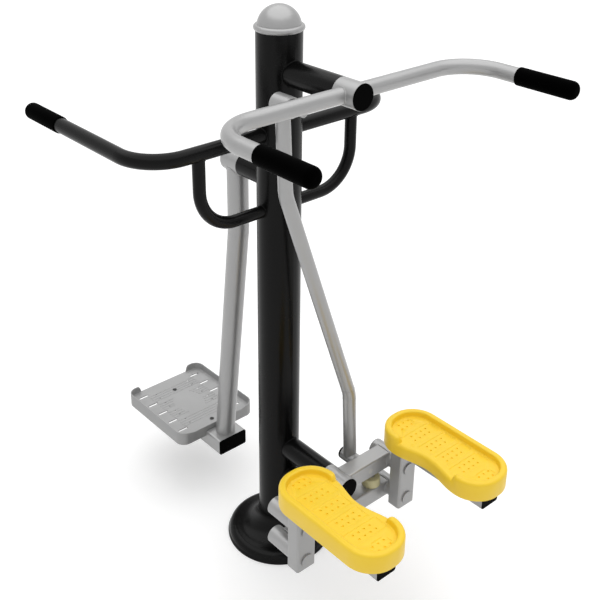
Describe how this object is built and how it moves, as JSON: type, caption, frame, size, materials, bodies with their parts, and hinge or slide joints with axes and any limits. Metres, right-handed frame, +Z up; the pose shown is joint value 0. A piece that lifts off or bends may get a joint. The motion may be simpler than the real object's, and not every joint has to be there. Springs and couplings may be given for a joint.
{
  "type": "stepper and surf trainer",
  "caption": "Outdoor fitness post with a rocking stepper linked to a moving handlebar on one side and a swinging surf board with fixed hand bar on the other.",
  "frame": {"origin": "centre of the base plate's underside, on the ground", "axes": "+Z up along the post, +X towards the stepper's pedals, the pendulum hangs on the -X side"},
  "size_m": [1.217, 0.8238, 1.5728],
  "materials": {
    "black_powder_coat": "satin powder coat",
    "silver_powder_coat": "satin powder coat",
    "black_plastic": "moulded, matt",
    "black_grip_rubber": "matt",
    "bearing_steel": "ground",
    "zinc_plated_steel": "zinc plated",
    "nylon": "turned",
    "yellow_plastic": "moulded, satin",
    "buffer_rubber": "moulded",
    "cast_aluminium": "cast and coated, matt"
  },
  "bodies": {
    "frame": {"post": "black_powder_coat", "post_cap": "silver_powder_coat", "base_plate": "black_powder_coat", "base_cover": "black_powder_coat", "handlebar_arm": "black_powder_coat", "rocker_arms": "black_powder_coat", "pendulum_arm": "black_powder_coat", "arm_end_plugs": "bearing_steel", "pivot_axles": "bearing_steel", "axle_spacers": "zinc_plated_steel", "axle_nuts": "zinc_plated_steel", "surf_bars": "black_powder_coat", "surf_grips": "black_grip_rubber", "brace_loops": "black_powder_coat"},
    "handlebar": {"handlebar_hub": "silver_powder_coat", "handlebars": "silver_powder_coat", "handlebar_grips": "black_grip_rubber", "handlebar_bearings": "bearing_steel", "handlebar_hub_cap": "black_plastic", "link_lug": "silver_powder_coat", "link_top_pin": "zinc_plated_steel"},
    "upper_beam": {"upper_beam_hub": "silver_powder_coat", "upper_beam_tubes": "silver_powder_coat", "upper_beam_sleeves": "silver_powder_coat", "upper_beam_bearings": "bearing_steel", "upper_beam_bushes": "nylon", "upper_beam_caps": "black_plastic", "link_low_pin": "zinc_plated_steel"},
    "lower_beam": {"lower_beam_hub": "silver_powder_coat", "lower_beam_tubes": "silver_powder_coat", "lower_beam_sleeves": "silver_powder_coat", "lower_beam_bearings": "bearing_steel", "lower_beam_bushes": "nylon", "lower_beam_caps": "black_plastic", "rubber_buffers": "buffer_rubber", "buffer_bolts": "zinc_plated_steel"},
    "left_step": {"leg_left": "silver_powder_coat", "pedal_left": "yellow_plastic", "leg_pins_left": "zinc_plated_steel", "pedal_bolts_left": "zinc_plated_steel", "pedal_arm_caps_left": "black_plastic"},
    "right_step": {"leg_right": "silver_powder_coat", "pedal_right": "yellow_plastic", "leg_pins_right": "zinc_plated_steel", "pedal_bolts_right": "zinc_plated_steel", "pedal_arm_caps_right": "black_plastic"},
    "link": {"link_rod": "silver_powder_coat", "link_sleeves": "silver_powder_coat", "link_bushes": "nylon", "link_caps": "black_plastic"},
    "pendulum": {"pendulum_hub": "silver_powder_coat", "pendulum_tube": "silver_powder_coat", "pendulum_bearings": "bearing_steel", "pendulum_hub_cap": "black_plastic", "foot_tube": "silver_powder_coat", "foot_tube_caps": "black_plastic", "foot_plate": "cast_aluminium", "foot_plate_bolts": "zinc_plated_steel"}
  },
  "joints": [
    {"name": "upper_beam_rock", "type": "hinge", "parent": "frame", "child": "upper_beam", "pos_m": [0.245, 0, 0.33], "axis": [1, 0, 0], "range_deg": [-18, 18]},
    {"name": "lower_beam_rock", "type": "hinge", "parent": "frame", "child": "lower_beam", "pos_m": [0.245, 0, 0.233], "axis": [1, 0, 0], "range_deg": [-18, 18]},
    {"name": "left_leg_pivot", "type": "hinge", "parent": "upper_beam", "child": "left_step", "pos_m": [0.245, -0.1855, 0.33], "axis": [1, 0, 0], "range_deg": [-18, 18]},
    {"name": "right_leg_pivot", "type": "hinge", "parent": "upper_beam", "child": "right_step", "pos_m": [0.245, 0.1855, 0.33], "axis": [1, 0, 0], "range_deg": [-18, 18]},
    {"name": "link_low_pivot", "type": "hinge", "parent": "upper_beam", "child": "link", "pos_m": [0.188, 0.0995, 0.33], "axis": [1, 0, 0], "range_deg": [-18, 18]},
    {"name": "handlebar_rock", "type": "hinge", "parent": "frame", "child": "handlebar", "pos_m": [0.245, 0, 1.4165], "axis": [1, 0, 0], "range_deg": [-18, 18]},
    {"name": "pendulum_swing", "type": "hinge", "parent": "frame", "child": "pendulum", "pos_m": [-0.17, 0, 1.131], "axis": [1, 0, 0], "range_deg": [-25, 25]}
  ],
  "couplings": [
    {"joint": "lower_beam_rock", "follows": "upper_beam_rock", "ratio": 1},
    {"joint": "left_leg_pivot", "follows": "upper_beam_rock", "ratio": -1},
    {"joint": "right_leg_pivot", "follows": "upper_beam_rock", "ratio": -1},
    {"joint": "link_low_pivot", "follows": "upper_beam_rock", "ratio": -0.969},
    {"joint": "handlebar_rock", "follows": "upper_beam_rock", "ratio": -1}
  ]
}
